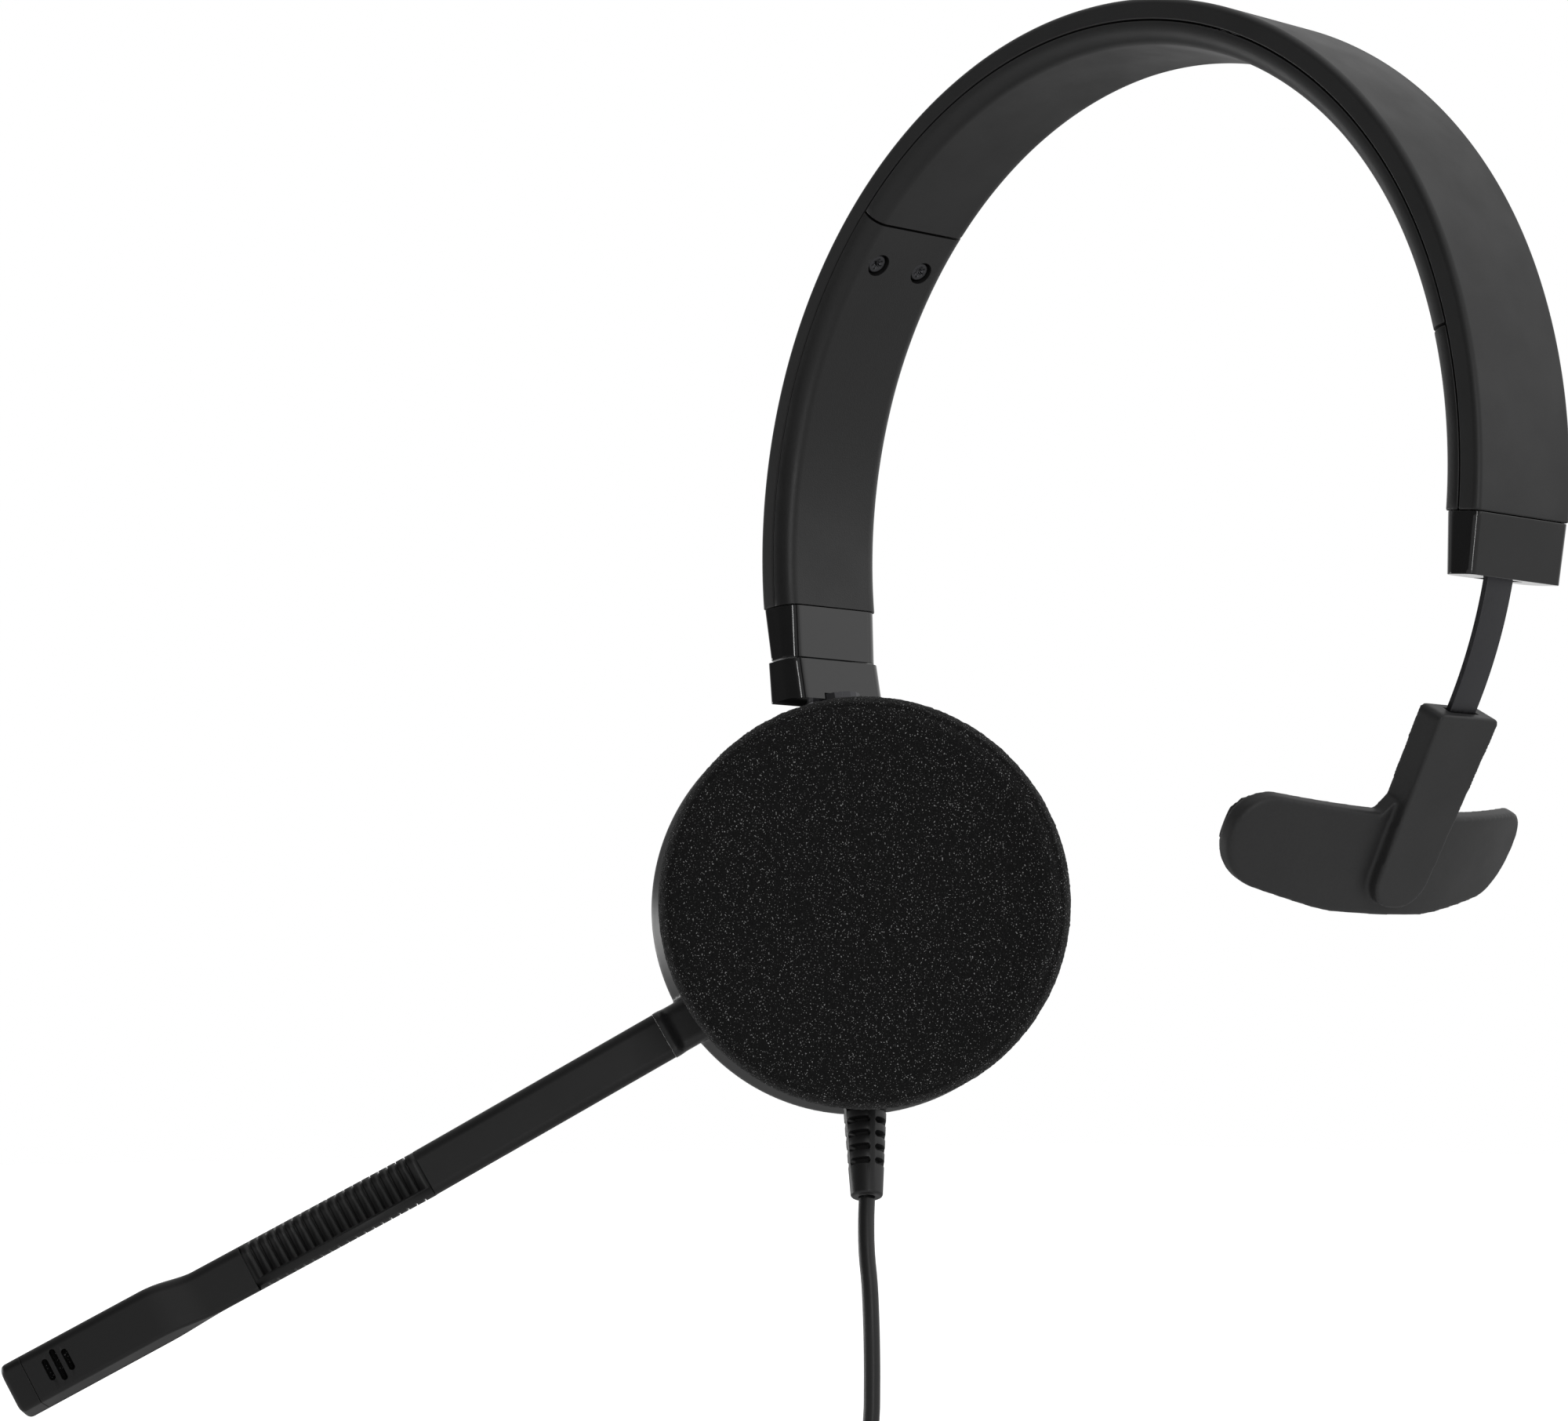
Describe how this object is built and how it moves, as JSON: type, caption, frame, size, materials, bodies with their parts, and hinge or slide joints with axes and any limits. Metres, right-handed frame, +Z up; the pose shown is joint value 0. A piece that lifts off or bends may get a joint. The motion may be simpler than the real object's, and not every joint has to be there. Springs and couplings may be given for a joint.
{
  "type": "office headset",
  "caption": "Corded office headset: a plain arched headband, a foam-covered ear cup on a slider, a turning microphone boom, and a temple rest on a sprung strip.",
  "frame": {"origin": "middle of the headband's inner surface at the crown, where it sits on the head", "axes": "+Z up, +X from the ear cup toward the temple rest, -Y toward the wearer's front"},
  "size_m": [0.2191, 0.1269, 0.2941],
  "materials": {
    "soft_touch": "matte soft-touch coating",
    "textured_plastic": "fine-grained",
    "gloss_plastic": "polished",
    "satin_plastic": "satin",
    "rubber": "matte",
    "foam": "open-cell foam",
    "dark_steel": "satin black",
    "steel": "satin",
    "brass": "satin",
    "circuit": "solder mask"
  },
  "bodies": {
    "headband": {"outer_cover": "soft_touch", "crown_liner": "soft_touch", "spring_band": "steel", "cup_arm_cover": "textured_plastic", "rest_arm_cover": "textured_plastic", "cup_screw_front": "dark_steel", "cup_screw_back": "dark_steel", "cup_collar": "gloss_plastic", "rest_collar": "gloss_plastic", "cup_detent_spring": "steel", "rest_detent_spring": "steel"},
    "slider": {"slider_strip": "dark_steel", "yoke_block": "gloss_plastic"},
    "swivel": {"swivel_carrier": "dark_steel"},
    "cup": {"housing": "satin_plastic", "driver": "dark_steel", "driver_diaphragm": "rubber", "baffle": "textured_plastic", "strain_relief": "rubber", "tilt_pin": "steel", "foam_cushion": "foam", "circuit_board": "circuit", "friction_ring": "steel", "outer_cap": "satin_plastic", "cord_drop": "rubber", "cord_coil": "rubber", "cord_tie": "rubber", "cord_tail": "rubber", "plug_grip": "rubber", "plug_shell": "steel", "plug_tongue": "satin_plastic"},
    "boom": {"boom_ring": "satin_plastic", "boom_arm": "rubber", "boom_grip": "rubber", "boom_wire": "steel"},
    "mic": {"mic_shell_front": "rubber", "mic_shell_back": "rubber", "mic_capsule": "brass", "mic_gasket": "foam", "mic_end_cap": "rubber"},
    "rest": {"rest_strip": "dark_steel", "rest_stem": "satin_plastic", "rest_cushion": "rubber"}
  },
  "joints": [
    {"name": "cup_slide", "type": "hinge", "parent": "headband", "child": "slider", "pos_m": [0.00601, 0, -0.06279], "axis": [0, -1, 0], "range_deg": [0, 21.3]},
    {"name": "cup_swivel", "type": "hinge", "parent": "slider", "child": "swivel", "pos_m": [-0.05917, 0, -0.08982], "axis": [-0.2588, 0, 0.9659], "range_deg": [-51, 51]},
    {"name": "cup_tilt", "type": "hinge", "parent": "swivel", "child": "cup", "pos_m": [-0.05917, 0, -0.08982], "axis": [0.6206, 0.7663, 0.1663], "range_deg": [-7, 7]},
    {"name": "boom_turn", "type": "hinge", "parent": "cup", "child": "boom", "pos_m": [-0.06945, 0.01225, -0.11382], "axis": [0.7771, -0.6293, 0], "range_deg": [-90, 180]},
    {"name": "boom_bend", "type": "hinge", "parent": "boom", "child": "mic", "pos_m": [-0.11825, -0.04802, -0.1605], "axis": [0.3128, 0.3862, -0.8678], "range_deg": [-25, 25], "deforming": ["boom_grip", "boom_wire"]},
    {"name": "rest_slide", "type": "hinge", "parent": "headband", "child": "rest", "pos_m": [0.00206, 0, -0.06336], "axis": [0, 1, 0], "range_deg": [-11.1, 7.4]}
  ]
}
